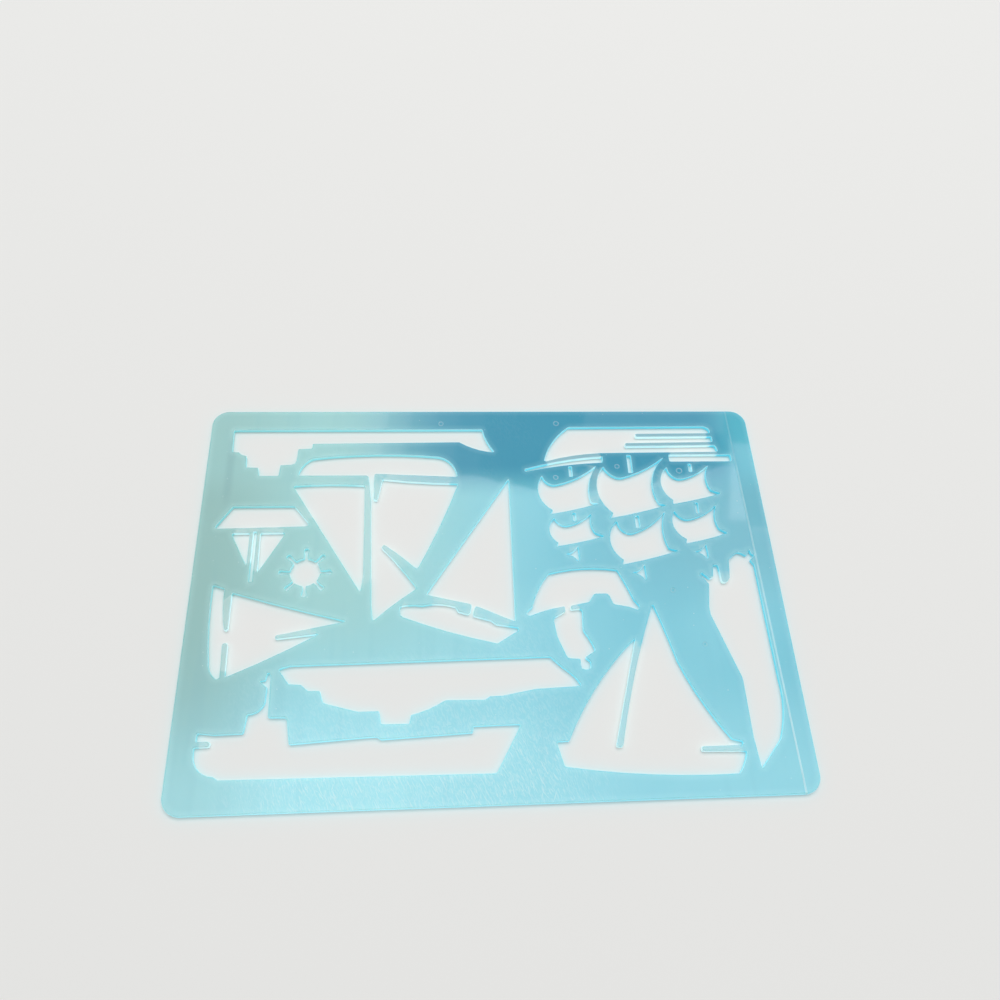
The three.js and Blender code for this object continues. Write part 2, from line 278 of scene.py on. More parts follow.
@dataclass(frozen=True)
class Ground:
    """What every mask of the finish reads.

    Attributes:
        tree: Node tree of the finish.
        place: Place on the sheet, in mm.
        across: Place along X, in mm.
        along: Place along Y, in mm.
    """

    tree: Tree
    place: Socket
    across: Socket
    along: Socket

    @classmethod
    def lay(cls, tree: Tree) -> "Ground":
        """Lay the places out in a new node tree.

        Args:
            tree: Node tree of the finish.

        Returns:
            The places.
        """
        spot = add_node(tree, "ShaderNodeTexCoord", {}).outputs["Object"]
        scaled = add_node(tree, "ShaderNodeVectorMath", {0: spot, "Scale": 1 / MM}, operation="SCALE")
        place = scaled.outputs["Vector"]
        axes = add_node(tree, "ShaderNodeSeparateXYZ", {0: place})
        return cls(tree, place, axes.outputs["X"], axes.outputs["Y"])

    def read(self, measure: Measure) -> Socket:
        """Read one of the measures that the mesh carries."""
        return add_node(self.tree, "ShaderNodeAttribute", {}, attribute_name=measure.value).outputs["Fac"]


@dataclass(frozen=True)
class DentShade:
    """Faint dark streak painted in the sheet's left margin: the shade of a shallow dent, which is not
    modelled.

    Attributes:
        left: Places along X between which the dent begins, in mm.
        right: Places along X between which it ends, in mm.
        near: Places along Y between which it begins, in mm.
        far: Places along Y between which it ends, in mm.
    """

    left: Span
    right: Span
    near: Span
    far: Span

    def mask(self, ground: Ground) -> Socket:
        """Build the mask of the painted dark streak.

        Args:
            ground: Places on the sheet.

        Returns:
            The mask, from 0 to 1.
        """
        sides = [side.mask(ground.tree, ground.across) for side in (self.left, self.right)]
        ends = [end.mask(ground.tree, ground.along) for end in (self.near, self.far)]
        return combine(ground.tree, "MULTIPLY", *sides, *ends)


@dataclass(frozen=True)
class MouldedPolystyrene:
    """Translucent blue polystyrene, injection moulded in a polished mould, then worn by use.

    The eye sees a milky sky blue under a clear gloss that mirrors the lamps. It is paler where handling has
    hazed it and greyer and yellower at the left where it has aged. A painted shade darkens the right
    middle, and a deep blue is painted along the far side, where the mirrored lamps leave a gap in the
    gloss. The near side carries fine hairlines. The walls carry a painted glow of the plastic's own tone,
    standing in for light piped out of the sheet, so they shine brighter than its face, a painted halo
    brightens the plastic beside them, and a thin tongue is painted nearly white. Painted highlights run
    round the rounded edges, in the pin grooves and along the crease, and a painted shade marks a dent in
    the left margin.
    """

    name: str = "moulded_blue_polystyrene"
    clear: str = "#47bacf"

    # Gloss, and how far red, green and blue light spread under the surface, in mm
    ior: float = 1.59
    roughness: float = 0.04
    rub_roughness: float = 0.04
    scratch_roughness: float = 0.05
    depth_weight: float = 0.35
    depth_radius: tuple[float, float, float] = (0.6, 1.6, 2.0)

    # Painted glow that comes out of a wall, and out of the walls of a thin tongue
    painted_wall_glow: float = 0.72
    painted_slim_glow: float = 0.32

    # Tints of the broad zones, with a painted shade at the right and a painted deep blue at the far side
    hazed: Tint = Tint("#a6ecf5", 1.0)
    yellowed: Tint = Tint("#8ebfb2", 0.6)
    painted_right_shade: Tint = Tint("#2f9db3", 0.52)
    aged: Tint = Tint("#6ca29b", 0.7)
    reflection_gap_tint: Tint = Tint("#1690b2", 0.85)

    # Tints of marks that moulding and use have left, a painted dent shade and a painted crease highlight
    dent_shade: Tint = Tint("#4f8f96", 0.3)
    streaked: Tint = Tint("#1690b2", 0.05)
    rubbed: Tint = Tint("#d9f5f7", 0.14)
    scratched: Tint = Tint("#e4fafb", 0.23)
    specked: Tint = Tint("#d9f5f7", 0.4)
    crease_highlight: Tint = Tint("#dff8fa", 0.42)

    # Painted light: a halo beside a wall, a wall's own tone, a rim highlight, a pale thin tongue
    painted_halo: Tint = Tint("#c9ffff", 0.09)
    painted_wall_tone: Tint = Tint("#5aa9b6", 1.0)
    painted_rim_highlight: Tint = Tint("#e3f7f7", 0.35)
    painted_slim_top: Tint = Tint("#c3dcda", 0.45)
    painted_slim_wall: Tint = Tint("#d3f3f6", 1.0)

    # Places between which the zones come to show, in mm: left and right along X, near and far along Y
    near: Span = Span(-30.0, -70.0)
    far: Span = Span(34.0, 50.0)
    haze_left: Span = Span(65.0, -45.0)
    yellow_left: Span = Span(25.0, -60.0)
    yellow_far: Span = Span(-55.0, 0.0)
    # Where the painted shade at the right shows
    right_shade_across: Span = Span(0.0, 94.0)
    right_shade_along: Span = Span(-20.0, 15.0)
    aged_left: Span = Span(-60.0, -102.0)
    # Where the far side's painted deep blue begins and ends along X
    reflection_gap_left: Span = Span(-62.0, -8.0)
    reflection_gap_right: Span = Span(104.0, 84.0)
    rub_near: Span = Span(0.0, -74.0)
    rub_left: Span = Span(-98.0, -60.0)
    rub_right: Span = Span(46.0, 10.0)
    scratch_near: Span = Span(-44.0, -60.0)
    # Where the crease's painted highlight fades out toward the far side
    crease_near: Span = Span(140.0, -74.0)
    dent: DentShade = DentShade(Span(-99.0, -96.6), Span(-93.8, -96.2), Span(30.0, 40.0), Span(66.0, 58.0))

    # Reach of a wall's painted halo, and width at which a tongue is thin and painted pale, in mm
    halo: Span = Span(2.6, 0.3)
    slim: Span = Span(6.6, 2.8)

    # Haze: a start, and what the clouds, the left and the near side add to it
    haze_base: float = -0.15
    haze_cloud: float = 0.4
    haze_left_share: float = 0.45
    haze_near_share: float = 0.27
    cloud_size: float = 55.0
    cloud_detail: float = 2.0

    # Ageing: what the near and the far side take from it
    aged_near_loss: float = 0.5
    aged_far_loss: float = 0.4

    # Rubbed patches, with their size in mm and the levels between which they show
    rub_size: float = 27.0
    rub_detail: float = 1.0
    rub_shift: tuple[float, float, float] = (31.0, 17.0, 5.0)
    rub_shown: Span = Span(0.5, 1.4)

    # Specks, with their spacing and size in mm
    speck_spacing: float = 8.0
    speck_size: float = 0.3
    speck_chance: Span = Span(0.5, 1.0)

    # Waves and ripples of the surface, with their sizes and heights in mm
    wave_size: float = 50.0
    wave_height: float = 0.2
    ripple_size: float = 13.0
    ripple_height: float = 0.012
    relief_detail: float = 0.0

    # Flow lines of the moulding, grain of the rubbed patches, and hairlines, drawn as coarse as they need
    # to be to show
    flow: Strokes = Strokes(90.0, 90.0, 5.0, Span(0.55, 0.8))
    grain: Strokes = Strokes(114.0, 1.8, 0.7, Span(0.4, 0.68), 0.8)
    scratches: tuple[Strokes, ...] = (
        Strokes(118.0, 4.0, 0.45, Span(0.6, 0.74), 0.5),
        Strokes(104.0, 3.5, 0.4, Span(0.62, 0.76), 0.5),
        Strokes(70.0, 6.0, 0.5, Span(0.72, 0.82), 0.3),
    )

    def material(self) -> bpy.types.Material:
        """Build the finish.

        Returns:
            The new material.
        """
        made = bpy.data.materials.new(self.name)
        made.use_nodes = True
        tree = made.node_tree
        tree.nodes.clear()
        ground = Ground.lay(tree)
        tone = self.colour(tree, linear(self.clear), self.tones(ground))
        worn = self.worn(ground)
        hairlines = self.hairlines(ground, worn)
        wall = ground.read(Measure.WALL)
        slim = self.slim.mask(tree, ground.read(Measure.WIDTH))
        layers = self.marks(ground, worn, hairlines) + self.edges(ground, wall, slim)
        roughness = weigh(
            tree, self.roughness, (worn, self.rub_roughness), (hairlines, self.scratch_roughness)
        )
        # Painted glow of the walls, weaker on a thin tongue's walls: emission, though the plastic is no
        # lamp
        painted_glow = weigh(tree, self.painted_wall_glow, (slim, self.painted_slim_glow - self.painted_wall_glow))
        plastic = add_node(
            tree, "ShaderNodeBsdfPrincipled",
            {
                "Base Color": self.colour(tree, tone, layers),
                "Roughness": roughness,
                "IOR": self.ior,
                "Subsurface Weight": self.depth_weight,
                "Subsurface Radius": self.depth_radius,
                "Subsurface Scale": MM,
                # Painted glow: the walls emit the plastic's tone, and a thin tongue's walls emit a paler
                # one
                "Emission Color": self.colour(tree, tone, [(slim, self.painted_slim_wall)]),
                "Emission Strength": combine(tree, "MULTIPLY", wall, painted_glow),
                "Normal": self.relief(ground),
            },
        )
        add_node(tree, "ShaderNodeOutputMaterial", {"Surface": plastic.outputs["BSDF"]})
        return made

    def marks(self, ground: Ground, worn: Socket, hairlines: Socket) -> Layers:
        """Painted deep blue far side, dent shade, crease highlight, and marks that moulding and use have
        left.

        Args:
            ground: Places on the sheet.
            worn: Amount of rubbing.
            hairlines: Mask of the hairlines.

        Returns:
            Each layer's mask and tint, from the lowest up.
        """
        tree = ground.tree
        grain = combine(tree, "MULTIPLY", worn, self.grain.mask(tree, ground.place))
        crease = combine(
            tree, "MULTIPLY", ground.read(Measure.CREASE), self.crease_near.mask(tree, ground.along)
        )
        return [
            # Deep blue painted where the mirrored lamps leave a gap: a painted lack of reflection
            (self.reflection_gap(ground), self.reflection_gap_tint),
            # Painted shade of a dent in the left margin
            (self.dent.mask(ground), self.dent_shade),
            (self.flow.mask(tree, ground.place), self.streaked),
            (grain, self.rubbed),
            (hairlines, self.scratched),
            (self.specks(ground), self.specked),
            # Painted highlight along the crease
            (crease, self.crease_highlight),
        ]

    def edges(self, ground: Ground, wall: Socket, slim: Socket) -> Layers:
        """Painted light at the walls: halo beside them, their own tone, rim highlights and pale thin
        tongues.

        Args:
            ground: Places on the sheet.
            wall: Mask of the walls.
            slim: Mask of the thin tongues.

        Returns:
            Each layer's mask and tint, from the lowest up.
        """
        tree = ground.tree
        flat = weigh(tree, 1.0, (wall, -1.0))
        return [
            # Painted halo beside each wall, standing in for light that the plastic pipes out
            (self.halo.mask(tree, ground.read(Measure.GAP)), self.painted_halo),
            # Walls painted a tone of their own, under their painted glow
            (wall, self.painted_wall_tone),
            # Painted highlight round the rounded edges and in the pin grooves
            (ground.read(Measure.RIM_HIGHLIGHT), self.painted_rim_highlight),
            # Thin tongues painted paler on top and on their walls, standing in for light through thin
            # plastic
            (combine(tree, "MULTIPLY", slim, flat), self.painted_slim_top),
            (combine(tree, "MULTIPLY", slim, wall), self.painted_slim_wall),
        ]

    def tones(self, ground: Ground) -> Layers:
        """Broad zones of the plastic: hazed, yellowed and aged, and a painted shade at the right.

        Args:
            ground: Places on the sheet.

        Returns:
            Each zone's mask and tint, from the lowest up.
        """
        tree = ground.tree
        near = self.near.mask(tree, ground.along)
        far = self.far.mask(tree, ground.along)
        left = self.haze_left.mask(tree, ground.across)
        cloud = add_node(
            tree, "ShaderNodeTexNoise",
            {"Vector": ground.place, "Scale": 1 / self.cloud_size, "Detail": self.cloud_detail},
        ).outputs["Fac"]
        haze = weigh(
            tree, self.haze_base,
            (cloud, self.haze_cloud), (left, self.haze_left_share), (near, self.haze_near_share),
        )
        yellow = [
            self.yellow_left.mask(tree, ground.across), self.yellow_far.mask(tree, ground.along),
        ]
        middle = weigh(tree, 1.0, (near, -self.aged_near_loss), (far, -self.aged_far_loss))
        # Painted shade: darker over the right middle, clear of the far side
        right_shade = [
            self.right_shade_across.mask(tree, ground.across), self.right_shade_along.mask(tree, ground.along),
            weigh(tree, 1.0, (far, -1.0)),
        ]
        return [
            (haze, self.hazed),
            (combine(tree, "MULTIPLY", *yellow), self.yellowed),
            (combine(tree, "MULTIPLY", *right_shade), self.painted_right_shade),
            (combine(tree, "MULTIPLY", middle, self.aged_left.mask(tree, ground.across)), self.aged),
        ]

    def reflection_gap(self, ground: Ground) -> Socket:
        """Deep blue painted along the far side, standing in for the gap in the mirrored lamps.

        Args:
            ground: Places on the sheet.

        Returns:
            The mask, from 0 to 1.
        """
        tree = ground.tree
        sides = [span.mask(tree, ground.across) for span in (self.reflection_gap_left, self.reflection_gap_right)]
        return combine(tree, "MULTIPLY", self.far.mask(tree, ground.along), *sides)

    def worn(self, ground: Ground) -> Socket:
        """Patches that the hand has rubbed, mostly along the near side and clear of both ends.

        Args:
            ground: Places on the sheet.

        Returns:
            Amount of rubbing, from 0 to 1.
        """
        tree = ground.tree
        shifted = add_node(
            tree, "ShaderNodeVectorMath", {0: ground.place, 1: self.rub_shift}, operation="ADD"
        ).outputs["Vector"]
        patch = add_node(
            tree, "ShaderNodeTexNoise",
            {"Vector": shifted, "Scale": 1 / self.rub_size, "Detail": self.rub_detail},
        ).outputs["Fac"]
        near = self.rub_near.mask(tree, ground.along)
        rubbed = self.rub_shown.mask(tree, combine(tree, "ADD", near, patch))
        ends = [span.mask(tree, ground.across) for span in (self.rub_left, self.rub_right)]
        return combine(tree, "MULTIPLY", rubbed, *ends)

    def hairlines(self, ground: Ground, worn: Socket) -> Socket:
        """Fine scratches in the rubbed patches along the near side.

        Args:
            ground: Places on the sheet.
            worn: Amount of rubbing.

        Returns:
            The mask, from 0 to 1.
        """
        tree = ground.tree
        lines = combine(tree, "MAXIMUM", *[family.mask(tree, ground.place) for family in self.scratches])
        return combine(tree, "MULTIPLY", worn, lines, self.scratch_near.mask(tree, ground.along))

    def specks(self, ground: Ground) -> Socket:
        """Scattered pale specks, where dust was moulded in.

        Args:
            ground: Places on the sheet.

        Returns:
            The mask, from 0 to 1.
        """
        tree = ground.tree
        cells = add_node(
            tree, "ShaderNodeTexVoronoi", {"Vector": ground.place, "Scale": 1 / self.speck_spacing},
            voronoi_dimensions="2D",
        )
        dots = Span(self.speck_size / self.speck_spacing, 0.0).mask(tree, cells.outputs["Distance"])
        chance = add_node(tree, "ShaderNodeSeparateColor", {0: cells.outputs["Color"]}).outputs["Red"]
        return combine(tree, "MULTIPLY", dots, self.speck_chance.mask(tree, chance))

    def colour(self, tree: Tree, base: Any, layers: Layers) -> Socket:
        """Lay tints over a base colour, one after the other.

        Args:
            tree: Node tree of the finish.
            base: Linear colour, or the socket that gives it.
            layers: Each layer's mask and tint, from the lowest up.

        Returns:
            The colour.
        """
        colour = base
        for mask, tint in layers:
            amount = weigh(tree, 0.0, (mask, tint.cover))
            sockets = {
                MixSocket.FACTOR: amount, MixSocket.FIRST: colour, MixSocket.SECOND: linear(tint.colour),
            }
            colour = add_node(tree, "ShaderNodeMix", sockets, data_type="RGBA").outputs[MixSocket.RESULT]
        return colour

    def relief(self, ground: Ground) -> Socket:
        """Slow waves and ripples of a thin moulding.

        Args:
            ground: Places on the sheet.

        Returns:
            The surface normal.
        """
        tree = ground.tree
        wave, ripple = [
            add_node(
                tree, "ShaderNodeTexNoise",
                {"Vector": ground.place, "Scale": 1 / size, "Detail": self.relief_detail},
            ).outputs["Fac"]
            for size in (self.wave_size, self.ripple_size)
        ]
        height = weigh(tree, 0.0, (wave, self.wave_height), (ripple, self.ripple_height))
        return add_node(tree, "ShaderNodeBump", {"Height": height, "Distance": MM}).outputs["Normal"]


@dataclass(frozen=True)
class PinMark:
    """Round witness of an ejector pin on the top face: its place and radius, in mm."""

    x: float
    y: float
    radius: float

    def covers(self, point: Vector) -> bool:
        """Tell whether a point, in metres, lies on the mark."""
        return (point.xy - Vector((self.x, self.y)) * MM).length < self.radius * MM


@dataclass
class StencilSheet:
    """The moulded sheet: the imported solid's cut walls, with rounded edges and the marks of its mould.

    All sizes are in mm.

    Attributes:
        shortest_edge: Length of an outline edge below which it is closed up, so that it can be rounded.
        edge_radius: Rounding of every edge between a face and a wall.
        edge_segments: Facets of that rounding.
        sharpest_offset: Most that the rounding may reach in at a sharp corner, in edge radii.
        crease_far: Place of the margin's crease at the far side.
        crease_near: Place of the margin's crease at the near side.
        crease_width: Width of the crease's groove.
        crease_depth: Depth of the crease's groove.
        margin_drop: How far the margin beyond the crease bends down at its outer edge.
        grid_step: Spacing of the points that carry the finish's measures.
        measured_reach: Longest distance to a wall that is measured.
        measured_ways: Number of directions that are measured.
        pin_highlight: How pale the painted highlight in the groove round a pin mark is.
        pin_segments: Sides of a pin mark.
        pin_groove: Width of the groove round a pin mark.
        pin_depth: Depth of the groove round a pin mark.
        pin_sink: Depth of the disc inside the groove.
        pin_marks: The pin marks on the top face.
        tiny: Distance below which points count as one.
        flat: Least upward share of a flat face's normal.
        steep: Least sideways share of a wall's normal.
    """

    shortest_edge: float = 0.09
    edge_radius: float = 0.35
    edge_segments: int = 4
    sharpest_offset: float = 2.5
    crease_far: tuple[float, float] = (97.2, 74.0)
    crease_near: tuple[float, float] = (99.1, -74.0)
    crease_width: float = 0.7
    crease_depth: float = 0.03
    margin_drop: float = 0.12
    grid_step: float = 2.0
    measured_reach: float = 8.0
    measured_ways: int = 8
    pin_highlight: float = 0.4
    pin_segments: int = 28
    pin_groove: float = 0.5
    pin_depth: float = 0.1
    pin_sink: float = 0.02
    pin_marks: tuple[PinMark, ...] = (
        PinMark(-17.5, 68.2, 1.1),
        PinMark(27.9, 68.2, 1.2),
        PinMark(26.0, 43.8, 1.1),
        PinMark(50.2, 48.5, 1.1),
        PinMark(74.4, 46.4, 1.3),
        PinMark(65.0, -2.9, 1.0),
        PinMark(73.6, -23.2, 0.9),
    )
    tiny: float = 0.001
    flat: float = 0.998
    steep: float = 0.3

    def build(self, finish: MouldedPolystyrene) -> bpy.types.Object:
        """Model the sheet, dress it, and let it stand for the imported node.

        Args:
            finish: Finish of the whole sheet.

        Returns:
            The finished piece.
        """
        low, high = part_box(SHEET_NODE)
        shape = bmesh.new()
        shape.from_mesh(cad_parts[SHEET_NODE].data)
        bmesh.ops.remove_doubles(shape, verts=shape.verts, dist=self.tiny * MM)
        self.keep_walls(shape)
        rims = self.round_edges(shape, low.z, high.z)
        for mark in self.pin_marks:
            rims[Side.TOP] += self.press_pin(shape, mark, high.z)
        for side, edges in rims.items():
            bmesh.ops.triangle_fill(shape, use_beauty=True, edges=edges, normal=(0.0, 0.0, side.value))
        bmesh.ops.recalc_face_normals(shape, faces=shape.faces)
        self.bend_margin(shape, high)
        self.measure(shape, low, high)
        mesh = bpy.data.meshes.new(PIECE_NAME)
        shape.to_mesh(mesh)
        shape.free()
        for polygon in mesh.polygons:
            polygon.use_smooth = abs(polygon.normal.z) < self.flat
        mesh.materials.append(finish.material())
        piece = bpy.data.objects.new(PIECE_NAME, mesh)
        bpy.context.scene.collection.objects.link(piece)
        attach(piece, ROOT_BODY)
        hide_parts(SHEET_NODE)
        return piece

    def keep_walls(self, shape: bmesh.types.BMesh) -> None:
        """Strip the two flat faces and leave the outer wall and the cut walls as plain quads.

        Args:
            shape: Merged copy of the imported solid.
        """
        shape.normal_update()
        flats = [face for face in shape.faces if abs(face.normal.z) > self.flat]
        bmesh.ops.delete(shape, geom=flats, context="FACES")
        diagonals = []
        for edge in shape.edges:
            run = edge.verts[1].co - edge.verts[0].co
            if abs(run.z) > self.tiny * MM and run.xy.length > self.tiny * MM:
                diagonals.append(edge)
        bmesh.ops.dissolve_edges(shape, edges=diagonals, use_verts=False)
        short = [edge for edge in shape.edges if edge.calc_length() < self.shortest_edge * MM]
        bmesh.ops.collapse(shape, edges=short)

    def round_edges(self, shape: bmesh.types.BMesh, floor: float, face: float) -> dict[Side, Edges]:
        """Roll every rim of the walls over into the faces.

        Args:
            shape: The open walls.
            floor: Height of the underside, in metres.
            face: Height of the top face, in metres.

        Returns:
            The edges that bound each flat face.
        """
        radius = self.edge_radius * MM
        layers = shape.verts.layers.float_vector
        names = ("rim_place", "rim_inward")
        place, inward = [layers.new(name) for name in names]
        shape.normal_update()
        for vert in shape.verts:
            vert[place] = vert.co
            vert[inward] = -vert.normal * min(vert.calc_shell_factor(), self.sharpest_offset)
        middle = (floor + face) / 2
        rims: dict[Side, Edges] = {}
        for side, level in ((Side.TOP, face), (Side.UNDER, floor)):
            edges = [
                edge for edge in shape.edges
                if edge.is_boundary and all((vert.co.z - middle) * side.value > 0 for vert in edge.verts)
            ]
            for vert in {vert for edge in edges for vert in edge.verts}:
                vert.co.z = level - side.value * radius
            for step in range(1, self.edge_segments + 1):
                angle = math.pi / 2 * step / self.edge_segments
                edges, fresh = self.grow(shape, edges)
                for vert in fresh:
                    vert.co = vert[place] + vert[inward] * radius * (1 - math.cos(angle))
                    vert.co.z = level - side.value * radius * (1 - math.sin(angle))
            rims[side] = edges
        for name in names:
            layers.remove(layers[name])
        return rims

    def grow(self, shape: bmesh.types.BMesh, edges: Edges) -> tuple[Edges, set[bmesh.types.BMVert]]:
        """Extrude a ring of edges, ready to be moved.

        Args:
            shape: The sheet so far.
            edges: The ring.

        Returns:
            The new ring's edges and its points.
        """
        grown = bmesh.ops.extrude_edge_only(shape, edges=edges)["geom"]
        fresh = {item for item in grown if isinstance(item, bmesh.types.BMVert)}
        ring = [
            item for item in grown
            if isinstance(item, bmesh.types.BMEdge) and all(vert in fresh for vert in item.verts)
        ]
        return ring, fresh

    def press_pin(self, shape: bmesh.types.BMesh, mark: PinMark, face: float) -> Edges:
        """Press a pin's round groove and disc into the top face.

        Args:
            shape: The sheet so far.
            mark: Place and radius of the mark.
            face: Height of the top face, in metres.

        Returns:
            The outer edges of the groove, where it meets the face.
        """
        centre = Vector((mark.x * MM, mark.y * MM, face))
        ring = bmesh.ops.create_circle(
            shape, cap_ends=False, segments=self.pin_segments, radius=mark.radius * MM,
            matrix=Matrix.Translation(centre),
        )["verts"]
        outer = list({edge for vert in ring for edge in vert.link_edges})
        edges = outer
        for radius, drop in (
            (mark.radius - self.pin_groove / 2, self.pin_depth),
            (mark.radius - self.pin_groove, self.pin_sink),
        ):
            edges, fresh = self.grow(shape, edges)
            for vert in fresh:
                spoke = (vert.co - centre).xy.normalized() * radius * MM
                vert.co = centre + Vector((spoke.x, spoke.y, -drop * MM))
        bmesh.ops.contextual_create(shape, geom=edges)
        return outer

    def bend_margin(self, shape: bmesh.types.BMesh, high: Vector) -> None:
        """Crease the top face along its right margin, and bend the margin down by a hair.

        Args:
            shape: The closed sheet.
            high: Highest corner of the sheet, in metres.
        """
        far = Vector((*self.crease_far, 0.0)) * MM
        along = Vector((*self.crease_near, 0.0)) * MM - far
        across = Vector((-along.y, along.x, 0.0)).normalized()
        half = self.crease_width * MM / 2
        tiny = self.tiny * MM
        on_line = 2 * tiny
        top = high.z - self.edge_radius * MM - tiny
        for offset in (-half, 0.0, half):
            faces = [face for face in shape.faces if all(vert.co.z > top for vert in face.verts)]
            parts = {part for face in faces for part in (*face.verts, *face.edges)}
            bmesh.ops.bisect_plane(
                shape, geom=[*parts, *faces], dist=tiny, plane_co=far + across * offset, plane_no=across,
            )
        outermost = (Vector((high.x, 0.0, 0.0)) - far).dot(across)
        for vert in shape.verts:
            beyond = (vert.co - far).xy.dot(across.xy)
            if vert.co.z < top:
                continue
            if abs(beyond) <= on_line:
                vert.co.z -= self.crease_depth * MM
            elif beyond > half:
                vert.co.z -= self.margin_drop * MM * beyond / outermost
        crease = shape.faces.layers.float.new(Measure.CREASE.value)
        for face in shape.faces:
            centre = face.calc_center_median()
            in_groove = abs((centre - far).xy.dot(across.xy)) < half
            face[crease] = 1.0 if in_groove and centre.z > top else 0.0

    def measure(self, shape: bmesh.types.BMesh, low: Vector, high: Vector) -> None:
        """Measure the plastic for its finish: walls, rims, distance to the nearest wall, and width.

        Args:
            shape: The closed sheet.
            low: Lowest corner of the sheet, in metres.
            high: Highest corner of the sheet, in metres.
        """
        solid = BVHTree.FromBMesh(shape)
        for axis in (Vector((1.0, 0.0, 0.0)), Vector((0.0, 1.0, 0.0))):
            begin, end = low.dot(axis), high.dot(axis)
            geom = [*shape.verts, *shape.edges, *shape.faces]
            for cut in range(1, int((end - begin) / (self.grid_step * MM)) + 1):
                geom = bmesh.ops.bisect_plane(
                    shape, geom=geom, dist=self.tiny * MM,
                    plane_co=axis * (begin + cut * self.grid_step * MM), plane_no=axis,
                )["geom"]
        shape.normal_update()
        self.mark_faces(shape)
        gap = shape.verts.layers.float.new(Measure.GAP.value)
        width = shape.verts.layers.float.new(Measure.WIDTH.value)
        angles = [math.pi * way / self.measured_ways for way in range(self.measured_ways)]
        ways = [Vector((math.cos(angle), math.sin(angle), 0.0)) for angle in angles]
        for vert in shape.verts:
            start = Vector((vert.co.x, vert.co.y, (low.z + high.z) / 2))
            outward = Vector((vert.normal.x, vert.normal.y, 0.0))
            if outward.length > self.steep:
                start -= outward.normalized() * self.edge_radius * MM
            runs = [[self.clear_run(solid, start, way * sign) for sign in (1, -1)] for way in ways]
            vert[gap] = min(min(run) for run in runs) / MM
            vert[width] = statistics.median(sum(run) for run in runs) / MM

    def clear_run(self, solid: BVHTree, start: Vector, way: Vector) -> float:
        """Measure how far the plastic runs one way, in metres, before it meets a wall.

        Args:
            solid: The closed sheet.
            start: Point inside the plastic.
            way: Direction, of length 1.

        Returns:
            The distance, which is cut off at the longest that is measured.
        """
        reach = self.measured_reach * MM
        *_, distance = solid.ray_cast(start, way, reach)
        return distance or reach

    def mark_faces(self, shape: bmesh.types.BMesh) -> None:
        """Mark the walls, and the rounded edges and pin grooves that carry a painted highlight as pale
        lines.

        Args:
            shape: The closed sheet.
        """
        wall = shape.faces.layers.float.new(Measure.WALL.value)
        rim = shape.faces.layers.float.new(Measure.RIM_HIGHLIGHT.value)
        crease = shape.faces.layers.float[Measure.CREASE.value]
        for face in shape.faces:
            slope = abs(face.normal.z)
            if slope > self.flat or face[crease]:
                continue
            centre = face.calc_center_median()
            if any(mark.covers(centre) for mark in self.pin_marks):
                # Painted highlight in the groove round a pin mark
                face[rim] = self.pin_highlight
                continue
            upright = 1 - slope ** 2
            face[wall] = upright
            # Painted highlight: palest halfway round an edge, where 4 brings two halves' product up to 1
            face[rim] = 4 * upright * (1 - upright)


@dataclass(frozen=True)
class PaleFloor:
    """Matt pale studio floor that runs out into the white backdrop.

    Attributes:
        name: Name of the floor and of its paint.
        colour: Colour of the paint.
        reach: Distance from the middle to each side, in metres.
        gap: Gap under the sheet, in mm.
        fade: Distances between which the floor turns into the backdrop, in metres.
    """

    name: str = "pale_floor"
    colour: str = "#f0f0ee"
    reach: float = 20.0
    gap: float = 0.02
    fade: Span = Span(0.5, 1.6)

    def build(self) -> bpy.types.Object:
        """Lay the floor just under the sheet.

        Returns:
            The floor.
        """
        shape = bmesh.new()
        bmesh.ops.create_grid(
            shape, x_segments=1, y_segments=1, size=self.reach,
            matrix=Matrix.Translation((0.0, 0.0, -self.gap * MM)),
        )
        mesh = bpy.data.meshes.new(self.name)
        shape.to_mesh(mesh)
        shape.free()
        mesh.materials.append(self.paint())
        floor = bpy.data.objects.new(self.name, mesh)
        bpy.context.scene.collection.objects.link(floor)
        return floor

    def paint(self) -> bpy.types.Material:
        """Matt paint that the eye sees turn white far from the sheet.

        Returns:
            The new material.
        """
        matt = bpy.data.materials.new(self.name)
        matt.use_nodes = True
        tree = matt.node_tree
        tree.nodes.clear()
        spot = add_node(tree, "ShaderNodeTexCoord", {}).outputs["Object"]
        distance = add_node(tree, "ShaderNodeVectorMath", {0: spot}, operation="LENGTH").outputs["Value"]
        white = combine(tree, "MULTIPLY", self.fade.mask(tree, distance), seen_directly(tree))
        diffuse = add_node(tree, "ShaderNodeBsdfDiffuse", {"Color": linear(self.colour)}).outputs["BSDF"]
        backdrop = add_node(tree, "ShaderNodeEmission", {"Color": linear(WHITE)}).outputs["Emission"]
        surface = add_node(tree, "ShaderNodeMixShader", {0: white, 1: diffuse, 2: backdrop})
        add_node(tree, "ShaderNodeOutputMaterial", {"Surface": surface.outputs["Shader"]})
        return matt


@dataclass(frozen=True)
class LightPanel:
    """Soft panel on the studio's ceiling.

    Attributes:
        name: Name of the panel.
        across: Place of its middle along the ceiling's rails, in metres.
        out: Place of its middle away from the camera, in metres.
        width: Width along the rails, in metres.
        depth: Depth away from the camera, in metres.
        brightness: Brightness of its face, where 1 is the white backdrop's.
        turn: Turn about its middle, in degrees from the rails.
        rise: Height above the other panels, in metres, where it lies behind one of them.
    """

    name: str
    across: float
    out: float
    width: float
    depth: float
    brightness: float = 2.3
    turn: float = 0.0
    rise: float = 0.0


